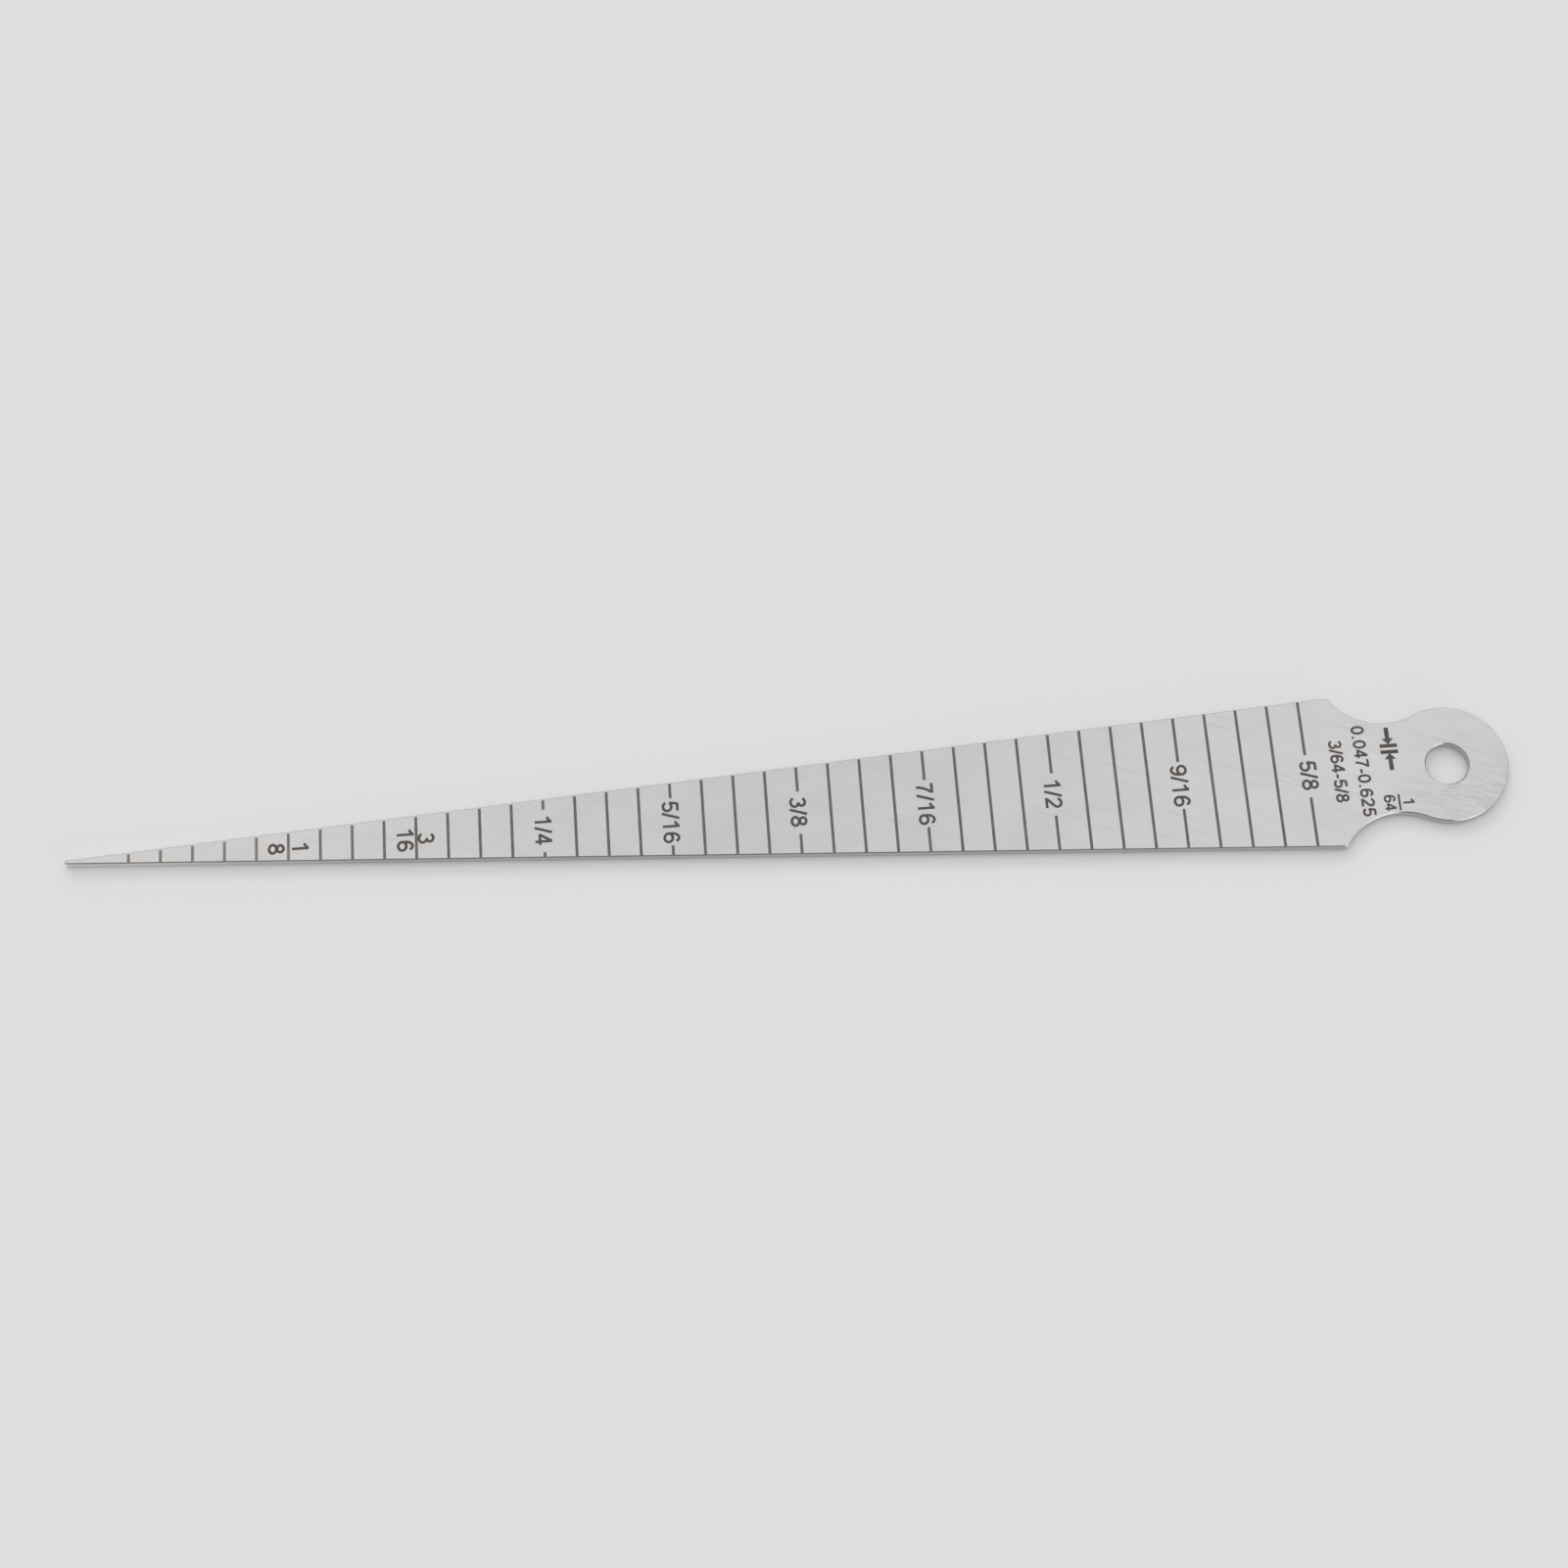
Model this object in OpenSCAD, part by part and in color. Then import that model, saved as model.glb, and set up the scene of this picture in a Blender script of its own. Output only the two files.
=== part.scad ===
// Taper gauge: one flat piece of steel sheet, a long straight wedge that runs from a blunt tip to
// two shoulders, then a waisted neck and a round head with a hanging hole. At each engraved line
// the wedge is a whole number of sixty-fourths of an inch wide, so the last line that still
// enters a hole or slot reads its width.
// Millimetres. The sheet lies on z = 0 with the marked face up, its tip toward -x.

/* [Sheet] */
// thickness of the sheet
thick = 1.0; // [0.6:0.1:2]
// bevel that breaks both rims of the hole
hole_bevel = 0.1; // [0.05:0.01:0.2]

/* [Wedge] */
// width gained from one line to the next, one sixty-fourth of an inch
step_w = 0.396875; // [0.35:0.003125:0.45]
// distance along the wedge from one line to the next
pitch = 3.25; // [2.5:0.05:4]
// width of the blunt tip, counted in steps of width
tip_steps = 1; // [1:0.1:2]
// rounding of the two corners of the tip
tip_r = 0.12; // [0.11:0.01:0.16]
// from the last line to the sharp corner of the shoulders
shoulder_gap = 3.05; // [1.5:0.05:4]
// rounding of the shoulder corners
shoulder_r = 0.4; // [0.2:0.05:0.8]

/* [Graduations] */
// first engraved line, counted in steps of width
first_line = 3; // [3:1:8]
// last engraved line, counted in steps of width
last_line = 40; // [36:1:44]
// width of an engraved line
line_w = 0.3; // [0.15:0.05:0.5]
// depth of an engraved line
line_d = 0.05; // [0.02:0.01:0.1]
// lines from one labelled line to the next
label_every = 4; // [2:1:8]
// first line that is broken to hold its label
first_broken = 16; // [14:1:24]
// break in a line that holds a three-figure label, eighths of an inch
short_break = 4.6; // [3:0.1:5]
// break in a line that holds a four-figure label, sixteenths of an inch
long_break = 5.1; // [3:0.1:5.5]
// middle of the breaks, off the long axis
break_y = -0.3; // [-0.4:0.05:0.4]

/* [Neck and head] */
// radius of the hollow on each side of the neck
neck_r = 6.6; // [5.5:0.05:8]
// from the shoulder corners to the middle of the head
neck_len = 11.28; // [10:0.01:13]
// radius of the head
head_r = 6.2; // [5:0.1:7]
// radius of the hanging hole
hole_r = 2.2; // [1:0.05:3.5]

/* [Hidden] */
$fn = 96;
// overrun of a cutter past the face that it cuts
over = 1;
// bite of a rounded piece into its neighbour, so that the two fuse
bite = 0.001;

function half_width(x) = (tip_steps + x / pitch) * step_w / 2;
function unit(v) = v / norm(v);
// meeting point of two circles, the one on the left of the way from a to b
function circles_meet(a, ra, b, rb) =
    let (d = norm(b - a), u = unit(b - a), s = (ra * ra - rb * rb + d * d) / (2 * d))
    a + s * u + sqrt(ra * ra - s * s) * [-u[1], u[0]];

// long edges of the wedge
edge_angle = atan(step_w / (2 * pitch));
edge_along = [cos(edge_angle), sin(edge_angle)];
edge_out = [-sin(edge_angle), cos(edge_angle)];

// stations along the axis, from the tip
function line_x(k) = (k - tip_steps) * pitch;
shoulder_x = line_x(last_line) + shoulder_gap;
head_x = shoulder_x + neck_len;
total_l = head_x + head_r;

// rounded tip corner: its centre and where it meets the end face and the long edge
tip_c = [tip_r, half_width(tip_r) - tip_r / cos(edge_angle)];
tip_front = [0, tip_c[1]];
tip_side = tip_c + tip_r * edge_out;

// the hollow of the neck passes through the sharp shoulder corner and runs into the head smoothly
shoulder = [shoulder_x, half_width(shoulder_x)];
head_c = [head_x, 0];
neck_c = circles_meet(shoulder, neck_r, head_c, neck_r + head_r - bite);

// rounded shoulder corner: a circle that touches the long edge and the hollow of the neck
round_start = shoulder - shoulder_r * edge_out;
to_start = round_start - neck_c;
back = to_start * edge_along;
reach = neck_r + shoulder_r;
round_c = round_start - (back + sqrt(back * back - to_start * to_start + reach * reach)) * edge_along;
round_side = round_c + shoulder_r * edge_out;
round_neck = round_c + shoulder_r * unit(neck_c - round_c);

module both_sides() {
    children();
    mirror([0, 1, 0]) children();
}

// disc as thick as the sheet
module disc(centre, r) {
    translate(centre) cylinder(h = thick, r = r);
}

// straight-sided half of the sheet, with the hollow of the neck taken out
module half_plate() {
    difference() {
        linear_extrude(height = thick)
            polygon([
                [0, 0],
                tip_front,
                tip_c,
                tip_side,
                round_side,
                round_c,
                round_neck,
                neck_c,
                head_c,
            ]);
        translate([neck_c[0], neck_c[1], -over])
            cylinder(h = thick + 2 * over, r = neck_r);
    }
}

module sheet() {
    both_sides() {
        half_plate();
        disc(tip_c, tip_r + bite);
        disc(round_c, shoulder_r + bite);
    }
    disc(head_c, head_r);
}

// plug with flared ends that leaves a bevelled rim on both faces
module hole_plug() {
    wide = hole_r + hole_bevel;
    translate(head_c)
        rotate_extrude()
            polygon([
                [0, -over],
                [wide, -over],
                [wide, 0],
                [hole_r, hole_bevel],
                [hole_r, thick - hole_bevel],
                [wide, thick],
                [wide, thick + over],
                [0, thick + over],
            ]);
}

function is_broken(k) = k >= first_broken && k % label_every == 0;
function break_length(k) = k % (2 * label_every) == 0 ? short_break : long_break;

// groove of one graduation, across the wedge and broken where a label stands in it
module graduation(k) {
    half_l = half_width(line_x(k)) + over;
    translate([line_x(k) - line_w / 2, 0, thick - line_d])
        difference() {
            translate([0, -half_l, 0])
                cube([line_w, 2 * half_l, line_d + over]);
            if (is_broken(k))
                translate([-over, break_y - break_length(k) / 2, -over])
                    cube([line_w + 2 * over, break_length(k), line_d + 3 * over]);
        }
}

module taper_gauge() {
    color([0.78, 0.78, 0.77])
        translate([-total_l / 2, 0, 0])
            difference() {
                sheet();
                hole_plug();
                for (k = [first_line : last_line])
                    graduation(k);
            }
}

taper_gauge();
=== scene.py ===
import math

import bmesh
import bpy
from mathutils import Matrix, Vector
from mathutils.geometry import delaunay_2d_cdt


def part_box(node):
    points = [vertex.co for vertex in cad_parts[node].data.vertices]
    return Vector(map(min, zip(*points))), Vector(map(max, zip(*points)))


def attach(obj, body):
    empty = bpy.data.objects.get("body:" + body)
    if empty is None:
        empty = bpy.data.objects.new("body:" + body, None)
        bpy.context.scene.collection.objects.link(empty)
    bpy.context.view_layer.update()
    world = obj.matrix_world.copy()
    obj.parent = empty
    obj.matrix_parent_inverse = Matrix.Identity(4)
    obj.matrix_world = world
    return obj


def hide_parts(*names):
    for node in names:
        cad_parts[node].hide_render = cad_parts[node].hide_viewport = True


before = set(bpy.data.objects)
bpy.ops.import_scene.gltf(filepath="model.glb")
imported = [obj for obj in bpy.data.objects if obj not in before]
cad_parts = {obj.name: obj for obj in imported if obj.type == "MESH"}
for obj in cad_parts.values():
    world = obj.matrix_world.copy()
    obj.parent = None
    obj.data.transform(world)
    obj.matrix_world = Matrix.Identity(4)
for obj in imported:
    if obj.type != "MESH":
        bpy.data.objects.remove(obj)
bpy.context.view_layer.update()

# Sizes of the gauge in millimetres, measured from its tip, as in the part's source
MM = 0.001
LOW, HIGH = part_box("taper_gauge")
TIP_X = LOW[0] / MM
THICK = (HIGH[2] - LOW[2]) / MM
INCH = 25.4
PARTS_OF_INCH = 64
STEP_W = INCH / PARTS_OF_INCH
PITCH = 3.25
TIP_STEPS = 1
TIP_R = 0.12
SHOULDER_GAP = 3.05
SHOULDER_R = 0.4
FIRST_LINE = 3
LAST_LINE = 40
LINE_W = 0.3
LINE_D = 0.05
LABEL_EVERY = 4
FIRST_LABEL = 8
FIRST_BROKEN = 16
SHORT_BREAK = 4.6
LONG_BREAK = 5.1
BREAK_Y = -0.3
NECK_R = 6.6
NECK_LEN = 11.28
HEAD_R = 6.2
HOLE_R = 2.2

# Finish of the edges and marks: heights and gaps in millimetres
EDGE_BREAK = 0.1
MARK_RECESS = 0.012
MARK_LIFT = 0.003
MARK_ROOT = 0.02
LINE_FOOT_GAP = 0.06
LINE_HEAD_GAPS = (0.22, 0.06)
OVERRUN = 1.0

# Fineness of the meshes: steps in each arc, limits for what is flat, sharp or joined, and the
# kind of result that the triangulation gives
TIP_ARC = 8
SHOULDER_ARC = 12
NECK_ARC = 48
HEAD_ARC = 72
HOLE_ARC = 96
FLOOR_ARC = 128
BOW_ARC = 20
RING_ARC = 32
OVAL_ARC = 36
FLAT_LIMIT = 0.9999
CREASE_ANGLE = math.radians(30)
CLOSED_LIMIT = 1e-6
MITRE_LIMIT = 0.5
JOIN_LIMIT = 1e-5
TRIANGLES_INSIDE = 1

# Lettering: height of the figures, places of their rows, and stroke widths as shares of the height
FIGURE_H = 1.72
STACK_GAPS = {8: (0.35, 0.37), 12: (0.14, 0.26)}
STACK_Y = -0.2
LABEL_X = -0.07
LAST_LABEL_X = 0.13
SHORT_LABEL_Y = -0.21
LONG_LABEL_Y = -0.33
STROKE = 0.165
NECK_STROKE = 0.185

EDGE_ANGLE = math.atan(STEP_W / (2 * PITCH))


def line_x(k):
    """Place along the gauge where the wedge is k steps wide."""
    return (k - TIP_STEPS) * PITCH


def half_width(x):
    """Half the width of the wedge at a place along it."""
    return (TIP_STEPS + x / PITCH) * STEP_W / 2


def polar(angle, radius=1.0):
    """Flat vector with an angle and a length."""
    return Vector((math.cos(angle), math.sin(angle))) * radius


def heading(v):
    """Angle of a flat vector."""
    return math.atan2(v.y, v.x)


# Directions, the sharp shoulder corner and the centres of the arcs that make up the outline
EDGE_ALONG = polar(EDGE_ANGLE)
EDGE_OUT = polar(EDGE_ANGLE + math.pi / 2)
SHOULDER_X = line_x(LAST_LINE) + SHOULDER_GAP
SHOULDER = Vector((SHOULDER_X, half_width(SHOULDER_X)))
HEAD_C = Vector((SHOULDER_X + NECK_LEN, 0))
TIP_C = Vector((TIP_R, half_width(TIP_R) - TIP_R / math.cos(EDGE_ANGLE)))


def neck_centre():
    """Centre of the hollow that passes through the shoulder corner and touches the head."""
    way = HEAD_C - SHOULDER
    u = way.normalized()
    s = (NECK_R ** 2 - (NECK_R + HEAD_R) ** 2 + way.length ** 2) / (2 * way.length)
    return SHOULDER + u * s + Vector((-u.y, u.x)) * math.sqrt(NECK_R ** 2 - s ** 2)


def shoulder_centre(neck):
    """Centre of the rounding that touches the long edge and the hollow of the neck."""
    start = SHOULDER - EDGE_OUT * SHOULDER_R
    w = start - neck
    along = w.dot(EDGE_ALONG)
    reach = NECK_R + SHOULDER_R
    return start - EDGE_ALONG * (along + math.sqrt(along ** 2 - w.dot(w) + reach ** 2))


NECK_C = neck_centre()
SHOULDER_C = shoulder_centre(NECK_C)


def place(x, y, z):
    """A point of the gauge, given in millimetres from the tip, in the part's frame in metres."""
    return Vector(((TIP_X + x) * MM, y * MM, z * MM))


def arc(centre, radius, start, end, steps):
    """Points along an arc, both ends included."""
    turn = (end - start) / steps
    return [centre + polar(start + turn * i, radius) for i in range(steps + 1)]


def outline(inset):
    """Points round the sheet, drawn in by inset, clockwise from the tip's upper corner."""
    edge = heading(EDGE_OUT)
    upper = arc(TIP_C, TIP_R - inset, math.pi, edge, TIP_ARC)
    shoulder_end = heading(NECK_C - SHOULDER_C)
    upper += arc(SHOULDER_C, SHOULDER_R - inset, edge, shoulder_end, SHOULDER_ARC)
    neck_start = heading(SHOULDER_C - NECK_C) % math.tau
    neck_end = heading(HEAD_C - NECK_C) % math.tau
    upper += arc(NECK_C, NECK_R + inset, neck_start, neck_end, NECK_ARC)[1:]
    upper += arc(HEAD_C, HEAD_R - inset, heading(NECK_C - HEAD_C), 0, HEAD_ARC)[1:]
    lower = [Vector((p.x, -p.y)) for p in reversed(upper[:-1])]
    return upper + lower


def edge_profile():
    """Inset and height of the loops from the underside round both broken edges to the top."""
    return [(EDGE_BREAK, 0), (0, EDGE_BREAK), (0, THICK - EDGE_BREAK), (EDGE_BREAK, THICK)]


def join_loops(bm, loops):
    """Skins a stack of loops with quads and caps the first and the last."""
    count = len(loops[0])
    for lower, upper in zip(loops, loops[1:]):
        for i in range(count):
            j = (i + 1) % count
            bm.faces.new((lower[i], upper[i], upper[j], lower[j]))
    bm.faces.new(loops[0])
    bm.faces.new(reversed(loops[-1]))


def prism(bm, points, low, high):
    """Upright closed prism on a flat loop of points."""
    join_loops(bm, [[bm.verts.new(place(p[0], p[1], z)) for p in points] for z in (low, high)])


def finish_mesh(bm, name):
    """A mesh with its faces turned outward, from a bmesh that is then freed."""
    bmesh.ops.recalc_face_normals(bm, faces=bm.faces)
    mesh = bpy.data.meshes.new(name)
    bm.to_mesh(mesh)
    bm.free()
    return mesh


def new_object(mesh, name):
    """An object in the scene for a mesh."""
    obj = bpy.data.objects.new(name, mesh)
    bpy.context.scene.collection.objects.link(obj)
    return obj


def rectangle(x0, x1, y0, y1):
    """Corners of a rectangle."""
    return [(x0, y0), (x1, y0), (x1, y1), (x0, y1)]


def has_short_label(k):
    """True where the label is in halves, quarters or eighths, which has three figures."""
    return k % (2 * LABEL_EVERY) == 0


def line_spans(k, foot, head):
    """Stretches of a graduation across the wedge, two where a label stands in the line."""
    if k < FIRST_BROKEN or k % LABEL_EVERY:
        return [(foot, head)]
    half = (SHORT_BREAK if has_short_label(k) else LONG_BREAK) / 2
    return [(foot, BREAK_Y - half), (BREAK_Y + half, head)]


def line_boxes(bm, foot_gap, head_gaps, low, high):
    """Bars in the lines, short of the edges by a gap that changes evenly along the wedge."""
    for k in range(FIRST_LINE, LAST_LINE + 1):
        x = line_x(k)
        share = (k - FIRST_LINE) / (LAST_LINE - FIRST_LINE)
        head_gap = head_gaps[0] + (head_gaps[1] - head_gaps[0]) * share
        for y0, y1 in line_spans(k, foot_gap - half_width(x), half_width(x) - head_gap):
            prism(bm, rectangle(x - LINE_W / 2, x + LINE_W / 2, y0, y1), low, high)


def hole_plug(bm):
    """Plug whose flared ends break the rim on both faces."""
    wide = HOLE_R + EDGE_BREAK
    rims = [(HOLE_R + inset, z) for inset, z in edge_profile()]
    loops = []
    for r, z in [(wide, -OVERRUN)] + rims + [(wide, THICK + OVERRUN)]:
        ring = arc(HEAD_C, r, 0, math.tau, HOLE_ARC)[:-1]
        loops.append([bm.verts.new(place(p.x, p.y, z)) for p in ring])
    join_loops(bm, loops)


def cut(mesh, cutter_mesh, name):
    """The first mesh less the second."""
    body = new_object(mesh, name + "_blank")
    cutter = new_object(cutter_mesh, name + "_cutter")
    change = body.modifiers.new("cut", "BOOLEAN")
    change.operation = "DIFFERENCE"
    change.solver = "EXACT"
    change.object = cutter
    graph = bpy.context.evaluated_depsgraph_get()
    result = bpy.data.meshes.new_from_object(body.evaluated_get(graph))
    result.name = name
    bpy.data.objects.remove(body)
    bpy.data.objects.remove(cutter)
    return result


def shade_round_walls(mesh):
    """Smooth shading round the walls and edge breaks, with every flat face kept crisp."""
    bm = bmesh.new()
    bm.from_mesh(mesh)
    flat = [abs(f.normal.z) > FLAT_LIMIT for f in bm.faces]
    bm.faces.index_update()
    for face in bm.faces:
        face.smooth = not flat[face.index]
    for edge in bm.edges:
        sides = [flat[f.index] for f in edge.link_faces]
        steep = len(edge.link_faces) == 2 and edge.calc_face_angle() > CREASE_ANGLE
        edge.smooth = not (any(sides) or steep)
    bm.to_mesh(mesh)
    bm.free()


def make_body():
    """The sheet with broken edges, its hole and its grooves."""
    bm = bmesh.new()
    loops = []
    for inset, z in edge_profile():
        loops.append([bm.verts.new(place(p.x, p.y, z)) for p in outline(inset)])
    join_loops(bm, loops)
    blank = finish_mesh(bm, "gauge_body")
    bm = bmesh.new()
    hole_plug(bm)
    line_boxes(bm, -OVERRUN, (-OVERRUN, -OVERRUN), THICK - LINE_D, THICK + OVERRUN)
    mesh = cut(blank, finish_mesh(bm, "cutters"), "gauge_body")
    shade_round_walls(mesh)
    return new_object(mesh, "gauge_body")


# Figures drawn as strokes, with a height of one and a plain engraver's shape
def bow(cx, cy, rx, ry, start, end, steps=BOW_ARC):
    """Elliptical stretch of a stroke, from one angle to another in degrees."""
    points = []
    for i in range(steps + 1):
        t = math.radians(start + (end - start) * i / steps)
        points.append((cx + rx * math.cos(t), cy + ry * math.sin(t)))
    return points


def turned(strokes, width):
    """The same strokes turned upside down."""
    return [[(width - u, 1 - v) for u, v in stroke] for stroke in strokes]


FIGURE_W = 0.777
TURNED_W = 0.78
NARROW_W = 0.39
DASH_W = 0.465
SIX = [bow(0.405, 0.5, 0.275, 0.425, 38, 195), bow(0.395, 0.315, 0.265, 0.24, 0, 360, RING_ARC)]
FIGURES = {
    "0": (FIGURE_W, [bow(0.39, 0.5, 0.265, 0.425, 0, 360, OVAL_ARC)]),
    "1": (FIGURE_W, [
        [(0.46, 0), (0.46, 1)],
        [(0.15, 0.735), (0.28, 0.79), (0.38, 0.87), (0.45, 0.97)],
    ]),
    "2": (FIGURE_W, [
        bow(0.385, 0.7, 0.255, 0.225, 172, -28) + [(0.5, 0.46), (0.28, 0.27), (0.14, 0.1)],
        [(0.05, 0.075), (0.69, 0.075)],
    ]),
    "3": (FIGURE_W, [
        bow(0.37, 0.73, 0.225, 0.195, 165, -90),
        bow(0.37, 0.305, 0.265, 0.23, 90, -165),
    ]),
    "4": (FIGURE_W, [
        [(0.515, 0), (0.515, 1)],
        [(0.03, 0.285), (0.72, 0.285)],
        [(0.095, 0.3), (0.49, 0.945)],
    ]),
    "5": (FIGURE_W, [
        [(0.19, 0.925), (0.66, 0.925)],
        [(0.215, 0.95), (0.14, 0.455)],
        bow(0.385, 0.325, 0.265, 0.25, 150, -160),
    ]),
    "6": (FIGURE_W, SIX),
    "7": (FIGURE_W, [
        [(0.06, 0.925), (0.69, 0.925)],
        [(0.64, 0.9), (0.5, 0.7), (0.39, 0.47), (0.32, 0.23), (0.285, 0)],
    ]),
    "8": (FIGURE_W, [
        bow(0.39, 0.735, 0.215, 0.19, 0, 360, RING_ARC),
        bow(0.39, 0.29, 0.265, 0.215, 0, 360, RING_ARC),
    ]),
    "9": (FIGURE_W, turned(SIX, TURNED_W)),
    "/": (NARROW_W, [[(0.03, -0.01), (0.36, 1.01)]]),
    ".": (NARROW_W, [[(0.195, 0), (0.195, STROKE)]]),
    "-": (DASH_W, [[(0.06, 0.36), (0.405, 0.36)]]),
}


def ribbon(points, width):
    """Left and right sides of a stroke of even width along a line of points."""
    ways = [(Vector(b) - Vector(a)).normalized() for a, b in zip(points, points[1:])]
    closed = (Vector(points[0]) - Vector(points[-1])).length < CLOSED_LIMIT
    before = [ways[-1] if closed else ways[0]] + ways
    after = ways + [ways[0] if closed else ways[-1]]
    left = []
    right = []
    for p, a, b in zip(points, before, after):
        mid = (a + b).normalized()
        side = Vector((-mid.y, mid.x)) * (width / 2 / max(mid.dot(a), MITRE_LIMIT))
        left.append(Vector(p) + side)
        right.append(Vector(p) - side)
    return left, right


def facing_up(cell):
    """The corners of a flat cell in anticlockwise order."""
    turn = sum(a[0] * b[1] - b[0] * a[1] for a, b in zip(cell, cell[1:] + cell[:1]))
    return cell if turn > 0 else cell[::-1]


def plate(cells, name):
    """One thin mark on the joined area of flat cells, which may lap over each other."""
    cells = [facing_up(cell) for cell in cells]
    points = [Vector(p) for cell in cells for p in cell]
    starts = [sum(len(c) for c in cells[:i]) for i in range(len(cells))]
    loops = [list(range(start, start + len(cell))) for start, cell in zip(starts, cells)]
    spots, _, faces, _, _, owners = delaunay_2d_cdt(
        points, [], loops, TRIANGLES_INSIDE, JOIN_LIMIT, True
    )
    inked = [face for face, owner in zip(faces, owners) if owner]
    bm = bmesh.new()
    low = [bm.verts.new(place(p.x, p.y, THICK - MARK_ROOT)) for p in spots]
    high = [bm.verts.new(place(p.x, p.y, THICK + MARK_LIFT)) for p in spots]
    sides = {(a, b) for face in inked for a, b in zip(face, face[1:] + face[:1])}
    for face in inked:
        bm.faces.new([high[i] for i in face])
        bm.faces.new([low[i] for i in reversed(face)])
    for a, b in sides:
        if (b, a) not in sides:
            bm.faces.new((low[a], low[b], high[b], high[a]))
    bmesh.ops.delete(bm, geom=[v for v in bm.verts if not v.link_faces], context="VERTS")
    return new_object(finish_mesh(bm, name), name)


def text_width(text, height):
    """Length of a row of figures."""
    return sum(FIGURES[c][0] for c in text) * height


def letter(text, baseline_x, middle_y, height, weight=STROKE):
    """Cells of a row of figures that reads toward -y, with its feet toward the tip."""
    cells = []
    pen = middle_y + text_width(text, height) / 2
    for c in text:
        advance, strokes = FIGURES[c]
        for stroke in strokes:
            left, right = [
                [(baseline_x + v * height, pen - u * height) for u, v in side]
                for side in ribbon(stroke, weight)
            ]
            for i in range(len(left) - 1):
                cells.append([left[i], right[i], right[i + 1], left[i + 1]])
        pen -= advance * height
    return cells


def fraction(k):
    """Top and bottom of k sixty-fourths in lowest terms."""
    common = math.gcd(k, PARTS_OF_INCH)
    return k // common, PARTS_OF_INCH // common


def make_lines():
    """Dark filling of the engraved lines."""
    bm = bmesh.new()
    line_boxes(bm, LINE_FOOT_GAP, LINE_HEAD_GAPS, THICK - LINE_D, THICK - MARK_RECESS)
    return new_object(finish_mesh(bm, "graduation_lines"), "graduation_lines")


def make_scale_figures():
    """Labels of the lines: two stacked on either side of their line, the rest in a break of it."""
    cells = []
    for k in range(FIRST_LABEL, LAST_LINE + 1, LABEL_EVERY):
        top, bottom = fraction(k)
        x = line_x(k)
        if k < FIRST_BROKEN:
            top_gap, bottom_gap = STACK_GAPS[k]
            cells += letter(str(top), x + top_gap, STACK_Y, FIGURE_H)
            cells += letter(str(bottom), x - bottom_gap - FIGURE_H, STACK_Y, FIGURE_H)
        else:
            x += LAST_LABEL_X if k == LAST_LINE else LABEL_X
            middle = SHORT_LABEL_Y if has_short_label(k) else LONG_LABEL_Y
            cells += letter(f"{top}/{bottom}", x - FIGURE_H / 2, middle, FIGURE_H)
    return plate(cells, "scale_figures")


# Neck marks, from the middle of the head toward the tip and across
SIGN_X = -5.7
SIGN_BARS = (2.4, 1.73)
SIGN_BAR_L = 1.8
SIGN_BAR_W = 0.4
SIGN_SHAFT_W = 0.46
SIGN_SHAFT_L = 1.2
SIGN_HEAD_W = 1.2
SIGN_HEAD_L = 0.6
SIGN_BITE = 0.06
UNIT_H = 1.17
UNIT_BAR_X = -5.46
UNIT_Y = -3.8
UNIT_BAR_L = 1.75
UNIT_BAR_W = 0.22
UNIT_GAP = 0.36
RANGE_H = 1.34
DECIMAL_RANGE = f"{FIRST_LINE / PARTS_OF_INCH:.3f}-{LAST_LINE / PARTS_OF_INCH:.3f}"
FRACTION_RANGE = "{}/{}-{}/{}".format(*fraction(FIRST_LINE), *fraction(LAST_LINE))
RANGE_ROWS = ((DECIMAL_RANGE, -9.3, -0.15), (FRACTION_RANGE, -11.8, 0.0))


def gap_arrow(bar_y, away):
    """Cells of an arrow that points at a bar from outside the gap and bites into it."""
    x = HEAD_C.x + SIGN_X
    tip = bar_y + away * (SIGN_BAR_W / 2 - SIGN_BITE)
    foot = bar_y + away * (SIGN_BAR_W / 2 + SIGN_HEAD_L)
    end = foot + away * SIGN_SHAFT_L
    return [
        [(x, tip), (x + SIGN_HEAD_W / 2, foot), (x - SIGN_HEAD_W / 2, foot)],
        rectangle(x - SIGN_SHAFT_W / 2, x + SIGN_SHAFT_W / 2, foot, end),
    ]


def make_gap_sign():
    """Two bars with an arrow at each from outside."""
    cells = []
    x = HEAD_C.x + SIGN_X
    for bar_y, away in zip(SIGN_BARS, (1, -1)):
        half = SIGN_BAR_W / 2
        cells.append(rectangle(x - SIGN_BAR_L / 2, x + SIGN_BAR_L / 2, bar_y - half, bar_y + half))
        cells += gap_arrow(bar_y, away)
    return plate(cells, "gap_sign")


def make_neck_figures():
    """The step of the scale as a fraction, and its range as decimals and as fractions."""
    x = HEAD_C.x + UNIT_BAR_X
    half = UNIT_BAR_W / 2
    cells = [rectangle(x - half, x + half, UNIT_Y - UNIT_BAR_L / 2, UNIT_Y + UNIT_BAR_L / 2)]
    cells += letter("1", x + UNIT_GAP, UNIT_Y, UNIT_H, NECK_STROKE)
    cells += letter(str(PARTS_OF_INCH), x - UNIT_GAP - UNIT_H, UNIT_Y, UNIT_H, NECK_STROKE)
    for text, row_x, row_y in RANGE_ROWS:
        cells += letter(text, HEAD_C.x + row_x, row_y, RANGE_H, NECK_STROKE)
    return plate(cells, "neck_figures")


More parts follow.
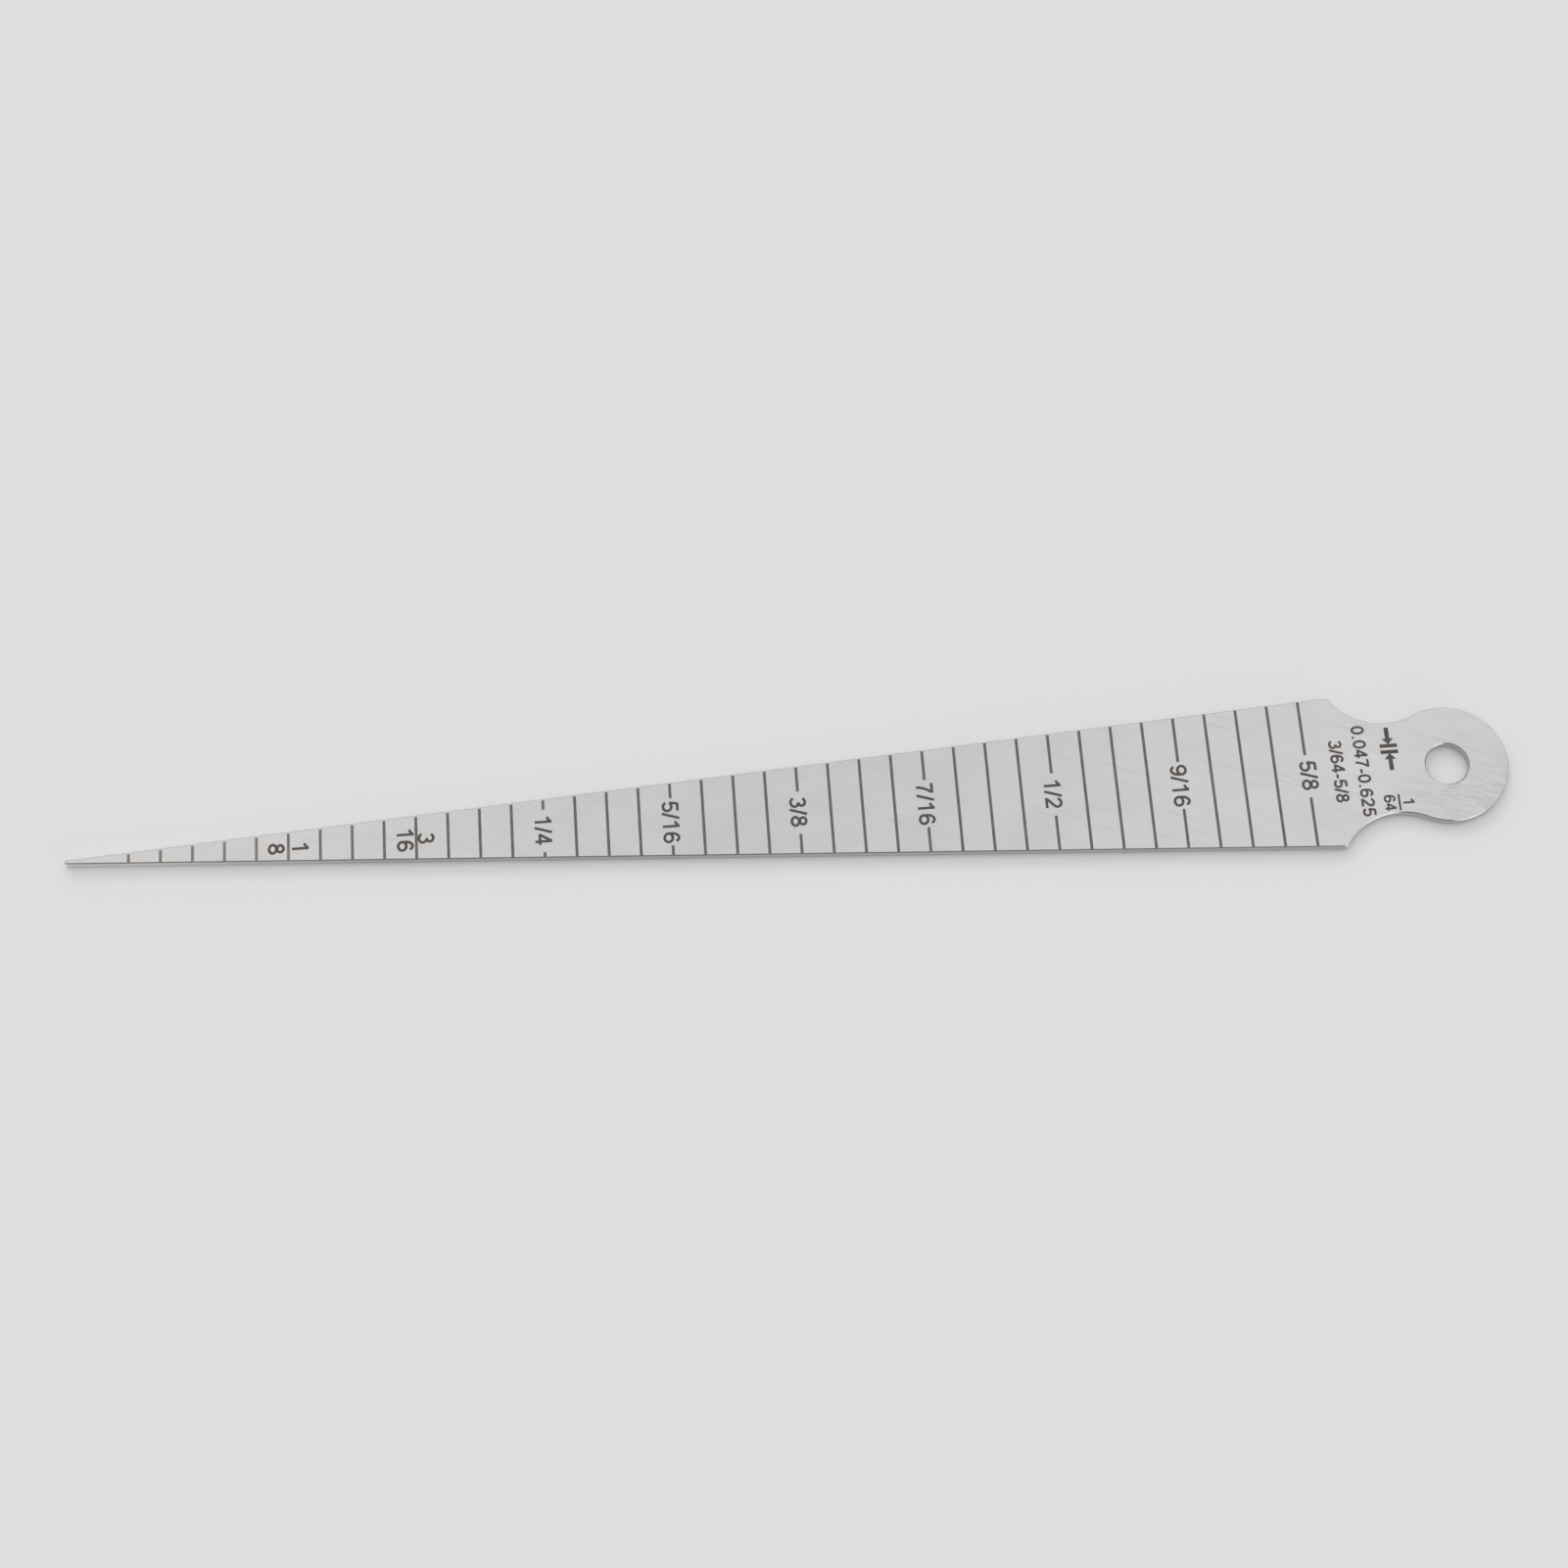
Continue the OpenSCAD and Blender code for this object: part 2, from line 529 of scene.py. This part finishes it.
# Colours of the steel and the marks, and where they fade, in millimetres from the tip
STEEL_DARK = (0.535, 0.532, 0.526)
STEEL_LIGHT = (0.59, 0.587, 0.582)
TIP_TINT = (1.0, 0.985, 0.97)
TIP_FADE = (45, 0)
# Painted light: a paler tone blended into the upright walls, most near the tip, standing in for
# light that falls on them
WALL_PAINTED_LIGHT = (0.92, 0.905, 0.895)
WALL_PAINTED_LIGHT_SHARES = (0.2, 0.9)
WALL_PAINTED_LIGHT_FADE = (32, 8)
LINE_TONES = ((0.13, 0.108, 0.098), (0.2, 0.178, 0.165))
LINE_TIP_TONES = ((0.2, 0.174, 0.16), (0.285, 0.26, 0.245))
LINE_FADE = (36, 20)
FIGURE_TONES = ((0.075, 0.06, 0.055), (0.125, 0.105, 0.098))
FLOOR_TONES = ((0.87, 0.87, 0.865), (0.89, 0.89, 0.885))

# Grains of the finish: length and width in millimetres, the range of noise that shows, and the
# detail in the noise
NOISE_LOW = 0.3
NOISE_HIGH = 0.7
FULL_DETAIL = 3.0
SOFT_DETAIL = 2.0
PLAIN_DETAIL = 1.0
FINE_GRAIN = (11, 0.11)
BROAD_GRAIN = (40, 0.7)
CLOUD_GRAIN = (7, 4)
SANDING_GRAIN = (1.7, 0.15)
SANDING_TURN = math.radians(-18)
SANDING_RANGE = (0.45, 0.65)
SCRATCH_GRAIN = (7, 0.13)
SCRATCH_TURN = math.radians(-24)
SCRATCH_RANGE = (0.62, 0.7)
PATCH_GRAIN = (9, 6)
PATCH_RANGE = (0.52, 0.68)
PATCH_SHARE = 0.5
BLOTCH_GRAIN = (1.1, 1.1)
SPECK_GRAIN = (0.11, 0.11)
FLOOR_GRAIN = (160, 160)

# The head is sanded from the neck on, most on its lower side
HEAD_FADE = (134, 141)
HEAD_LOWER = (1.0, -3.0)
HEAD_SHARES = (0.3, 1.15)

# Weights of the grains, in the order in which they are added up
BRUSHED_WEIGHTS = (0.6, 0.4)
TONE_WEIGHTS = (0.5, 0.5, -0.24, -0.15)
ROUGH_WEIGHTS = (1.0, 0.08, 0.1)
HEIGHT_WEIGHTS = (1.0, -0.5, -0.7)
MARK_WEIGHTS = (0.6, 0.4)

# Roughness, and the depth in metres and strength of the bumps
STEEL_ROUGH = (0.28, 0.38)
EDGE_ROUGH_SHARE = 0.45
STEEL_BUMP = (0.000004, 0.35)
MARK_ROUGH = (0.55, 0.8)
MARK_METALLIC = 0.2
MARK_BUMP = (0.000003, 0.4)
FLOOR_ROUGH = 0.85
FLOOR_SHINE = 0.2

# Square of the height of a face's normal: none on an upright wall, a half on a broken edge
UPRIGHT = 0.0
BROKEN_EDGE = 0.5
LEAN_SPREAD = 0.2


def new_material(name):
    """A material with its node tree and its shader."""
    material = bpy.data.materials.new(name)
    material.use_nodes = True
    tree = material.node_tree
    return material, tree, tree.nodes["Principled BSDF"]


def grain(tree, size, turn=0.0, detail=FULL_DETAIL):
    """Noise in the object's own frame, with grains of a length and width in millimetres."""
    length, width = size
    coords = tree.nodes.new("ShaderNodeTexCoord")
    mapping = tree.nodes.new("ShaderNodeMapping")
    mapping.vector_type = "TEXTURE"
    mapping.inputs["Rotation"].default_value = (0, 0, turn)
    mapping.inputs["Scale"].default_value = (length * MM, width * MM, width * MM)
    noise = tree.nodes.new("ShaderNodeTexNoise")
    noise.inputs["Scale"].default_value = 1.0
    noise.inputs["Detail"].default_value = detail
    tree.links.new(coords.outputs["Object"], mapping.inputs["Vector"])
    tree.links.new(mapping.outputs["Vector"], noise.inputs["Vector"])
    return noise.outputs["Fac"]


def remap(tree, value, low, high, from_low=NOISE_LOW, from_high=NOISE_HIGH):
    """A value moved from one range to another; noise keeps to the middle of its range."""
    node = tree.nodes.new("ShaderNodeMapRange")
    node.inputs["From Min"].default_value = from_low
    node.inputs["From Max"].default_value = from_high
    node.inputs["To Min"].default_value = low
    node.inputs["To Max"].default_value = high
    tree.links.new(value, node.inputs["Value"])
    return node.outputs["Result"]


def math_node(tree, operation, *values):
    """Result of an operation on values, each of them plain or from another node."""
    node = tree.nodes.new("ShaderNodeMath")
    node.operation = operation
    for socket, value in zip(node.inputs, values):
        if isinstance(value, float):
            socket.default_value = value
        else:
            tree.links.new(value, socket)
    return node.outputs["Value"]


def blend(tree, factor, first, second, mode="MIX"):
    """Blend of two colours, each of them plain or from another node."""
    node = tree.nodes.new("ShaderNodeMix")
    node.data_type = "RGBA"
    node.blend_type = mode
    tree.links.new(factor, node.inputs["Factor"])
    for name, colour in (("A", first), ("B", second)):
        if isinstance(colour, tuple):
            node.inputs[name].default_value = (*colour, 1)
        else:
            tree.links.new(colour, node.inputs[name])
    return node.outputs["Result"]


def bump(tree, height, distance, strength):
    """Normals that follow a height, for a relief of a depth in metres."""
    node = tree.nodes.new("ShaderNodeBump")
    node.inputs["Strength"].default_value = strength
    node.inputs["Distance"].default_value = distance
    tree.links.new(height, node.inputs["Height"])
    return node.outputs["Normal"]


def ramp(tree, axis, start, end):
    """Ramp from 0 to 1 between two places on an axis of the object."""
    coords = tree.nodes.new("ShaderNodeTexCoord")
    split = tree.nodes.new("ShaderNodeSeparateXYZ")
    tree.links.new(coords.outputs["Object"], split.inputs["Vector"])
    return remap(tree, split.outputs[axis], 0.0, 1.0, start, end)


def along_gauge(tree, start, end):
    """Ramp along the gauge between two places in millimetres from the tip."""
    return ramp(tree, "X", place(start, 0, 0).x, place(end, 0, 0).x)


def across_gauge(tree, start, end):
    """Ramp across the gauge between two places in millimetres from its middle."""
    return ramp(tree, "Y", start * MM, end * MM)


def leaning(tree, square):
    """1 on the faces whose normal has about this square of its height, 0 on all others."""
    coords = tree.nodes.new("ShaderNodeTexCoord")
    split = tree.nodes.new("ShaderNodeSeparateXYZ")
    tree.links.new(coords.outputs["Normal"], split.inputs["Vector"])
    height = math_node(tree, "MULTIPLY", split.outputs["Z"], split.outputs["Z"])
    return math_node(tree, "COMPARE", height, square, LEAN_SPREAD)


def weighted(tree, values, weights):
    """Sum of values, each times its weight."""
    total = None
    for value, weight in zip(values, weights):
        term = math_node(tree, "MULTIPLY", value, weight)
        total = term if total is None else math_node(tree, "ADD", total, term)
    return total


def steel_material():
    """Satin stainless steel, brushed along the gauge, sanded aslant, with painted light that makes
    its upright walls paler toward the tip.
    """
    material, tree, shader = new_material("brushed_steel")
    fine = grain(tree, FINE_GRAIN)
    broad = grain(tree, BROAD_GRAIN)
    cloud = grain(tree, CLOUD_GRAIN, detail=SOFT_DETAIL)
    strokes = grain(tree, SANDING_GRAIN, SANDING_TURN, PLAIN_DETAIL)
    sanding = remap(tree, strokes, 0.0, 1.0, *SANDING_RANGE)
    spread = grain(tree, PATCH_GRAIN, detail=PLAIN_DETAIL)
    patches = remap(tree, spread, 0.0, PATCH_SHARE, *PATCH_RANGE)
    lower = remap(tree, across_gauge(tree, *HEAD_LOWER), *HEAD_SHARES, 0.0, 1.0)
    head = math_node(tree, "MULTIPLY", along_gauge(tree, *HEAD_FADE), lower)
    area = math_node(tree, "MAXIMUM", head, patches)
    sanded = math_node(tree, "MULTIPLY", sanding, area)
    marks = grain(tree, SCRATCH_GRAIN, SCRATCH_TURN, PLAIN_DETAIL)
    scratches = remap(tree, marks, 0.0, 1.0, *SCRATCH_RANGE)
    brushed = weighted(tree, (fine, broad), BRUSHED_WEIGHTS)
    tone = weighted(tree, (brushed, cloud, sanded, scratches), TONE_WEIGHTS)
    colour = blend(tree, remap(tree, tone, 0.0, 1.0), STEEL_DARK, STEEL_LIGHT)
    # Painted light: upright walls blended toward a paler tone near the tip, in place of light
    # falling on them
    painted_wall_light = remap(tree, along_gauge(tree, *WALL_PAINTED_LIGHT_FADE), *WALL_PAINTED_LIGHT_SHARES, 0.0, 1.0)
    painted_light_on_walls = math_node(tree, "MULTIPLY", painted_wall_light, leaning(tree, UPRIGHT))
    colour = blend(tree, painted_light_on_walls, colour, WALL_PAINTED_LIGHT)
    colour = blend(tree, along_gauge(tree, *TIP_FADE), colour, TIP_TINT, "MULTIPLY")
    rough = weighted(tree, (remap(tree, brushed, *STEEL_ROUGH), scratches, sanded), ROUGH_WEIGHTS)
    polish = remap(tree, leaning(tree, BROKEN_EDGE), 1.0, EDGE_ROUGH_SHARE, 0.0, 1.0)
    rough = math_node(tree, "MULTIPLY", rough, polish)
    height = weighted(tree, (brushed, scratches, sanded), HEIGHT_WEIGHTS)
    tree.links.new(colour, shader.inputs["Base Color"])
    tree.links.new(rough, shader.inputs["Roughness"])
    tree.links.new(bump(tree, height, *STEEL_BUMP), shader.inputs["Normal"])
    shader.inputs["Metallic"].default_value = 1.0
    return material


def mark_material(name, tones, tip_tones):
    """Brown-grey etched mark, matt and a little uneven, that may be fainter near the tip."""
    material, tree, shader = new_material(name)
    blotch = grain(tree, BLOTCH_GRAIN)
    speck = grain(tree, SPECK_GRAIN, detail=SOFT_DETAIL)
    mix = remap(tree, weighted(tree, (blotch, speck), MARK_WEIGHTS), 0.0, 1.0)
    colours = [blend(tree, mix, dark, light) for dark, light in (tones, tip_tones)]
    tree.links.new(blend(tree, along_gauge(tree, *LINE_FADE), *colours), shader.inputs["Base Color"])
    tree.links.new(remap(tree, speck, *MARK_ROUGH), shader.inputs["Roughness"])
    tree.links.new(bump(tree, speck, *MARK_BUMP), shader.inputs["Normal"])
    shader.inputs["Metallic"].default_value = MARK_METALLIC
    return material


def floor_material():
    """Plain pale matt floor."""
    material, tree, shader = new_material("pale_floor")
    tone = remap(tree, grain(tree, FLOOR_GRAIN, detail=SOFT_DETAIL), 0.0, 1.0)
    tree.links.new(blend(tree, tone, *FLOOR_TONES), shader.inputs["Base Color"])
    shader.inputs["Roughness"].default_value = FLOOR_ROUGH
    shader.inputs["Specular IOR Level"].default_value = FLOOR_SHINE
    return material


# Stage, light and camera: metres, and levels of light where 1 is white
FLOOR_R = 1.6
FLOOR_DROP = 0.00002
WORLD_DARK = 0.26
WORLD_BRIGHT = 0.86
WORLD_HORIZON = 0.76
HORIZON_FADE = (0.1, 0.25)
WORLD_BRIGHT_SIDE = (0, 0.35, 1)
WORLD_RANGE = (0.0, 0.85)
# Each softbox: name, azimuth and elevation in degrees, distance, size and radiance
SOFTBOXES = (
    ("tip_softbox", 132, 63, 0.8, (0.3, 0.4), 0.4),
    ("head_softbox", 46, 63, 0.8, (0.3, 0.4), 0.4),
    ("back_softbox", 100, 33, 2.4, (2.7, 0.66), 1.6),
    ("side_softbox", -45, 15, 2.4, (2.9, 0.5), 1.4),
)
# Camera fitted to the photograph: focal length in its pixels, place in millimetres from the tip
PHOTO_PX = 1601
FOCAL_PX = 2877.8
SENSOR_MM = 36.0
CLIP_START = 0.005
CAMERA_MM = (70.428, -99.339, 270.087)
CAMERA_TURN = (20.799, 0.890, -4.025)


def make_floor():
    """Round floor just under the gauge."""
    bm = bmesh.new()
    rim = arc(Vector((0, 0)), FLOOR_R, 0, math.tau, FLOOR_ARC)[:-1]
    bm.faces.new([bm.verts.new((p.x, p.y, -FLOOR_DROP)) for p in rim])
    floor = new_object(finish_mesh(bm, "floor"), "floor")
    floor.data.materials.append(floor_material())


def make_world():
    """Studio surround, brightest overhead and behind and darkest in front, with a pale horizon."""
    world = bpy.data.worlds.new("studio")
    world.use_nodes = True
    tree = world.node_tree
    coords = tree.nodes.new("ShaderNodeTexCoord")
    lean = tree.nodes.new("ShaderNodeVectorMath")
    lean.operation = "DOT_PRODUCT"
    lean.inputs[1].default_value = Vector(WORLD_BRIGHT_SIDE).normalized()
    tree.links.new(coords.outputs["Generated"], lean.inputs[0])
    split = tree.nodes.new("ShaderNodeSeparateXYZ")
    tree.links.new(coords.outputs["Generated"], split.inputs["Vector"])
    level = math_node(
        tree,
        "MAXIMUM",
        remap(tree, lean.outputs["Value"], WORLD_DARK, WORLD_BRIGHT, *WORLD_RANGE),
        remap(tree, split.outputs["Z"], WORLD_HORIZON, 0.0, *HORIZON_FADE),
    )
    background = tree.nodes["Background"]
    background.inputs["Color"].default_value = (1, 1, 1, 1)
    tree.links.new(level, background.inputs["Strength"])
    bpy.context.scene.world = world


def softbox(name, azimuth, elevation, distance, size, radiance):
    """Rectangular area light aimed at the gauge, as bright as its radiance in the scene."""
    light = bpy.data.lights.new(name, "AREA")
    light.shape = "RECTANGLE"
    light.size, light.size_y = size
    light.energy = radiance * math.pi * size[0] * size[1]
    level = math.cos(math.radians(elevation))
    side = polar(math.radians(azimuth), level)
    obj = bpy.data.objects.new(name, light)
    obj.location = Vector((side.x, side.y, math.sin(math.radians(elevation)))) * distance
    obj.rotation_euler = (-obj.location).to_track_quat("-Z", "Y").to_euler()
    obj.visible_camera = False
    bpy.context.scene.collection.objects.link(obj)


def make_camera():
    """Camera at the photograph's angle."""
    data = bpy.data.cameras.new("camera")
    data.sensor_width = SENSOR_MM
    data.lens = FOCAL_PX * SENSOR_MM / PHOTO_PX
    data.clip_start = CLIP_START
    camera = bpy.data.objects.new("camera", data)
    camera.location = place(*CAMERA_MM)
    camera.rotation_euler = [math.radians(a) for a in CAMERA_TURN]
    bpy.context.scene.collection.objects.link(camera)
    bpy.context.scene.camera = camera


def dress(piece, material):
    """Gives a piece its material and slot, on the one body."""
    piece.data.materials.append(material)
    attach(piece, "root")


# The dressed pieces on the root body, then the stage
steel = steel_material()
line_mark = mark_material("etched_line", LINE_TONES, LINE_TIP_TONES)
figure_mark = mark_material("etched_figure", FIGURE_TONES, FIGURE_TONES)
gauge_body = make_body()
dress(gauge_body, steel)
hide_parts("taper_gauge")
dress(make_lines(), line_mark)
for figures in (make_scale_figures(), make_gap_sign(), make_neck_figures()):
    dress(figures, figure_mark)
make_floor()
make_world()
for lamp in SOFTBOXES:
    softbox(*lamp)
make_camera()
bpy.context.scene.view_settings.view_transform = "Standard"
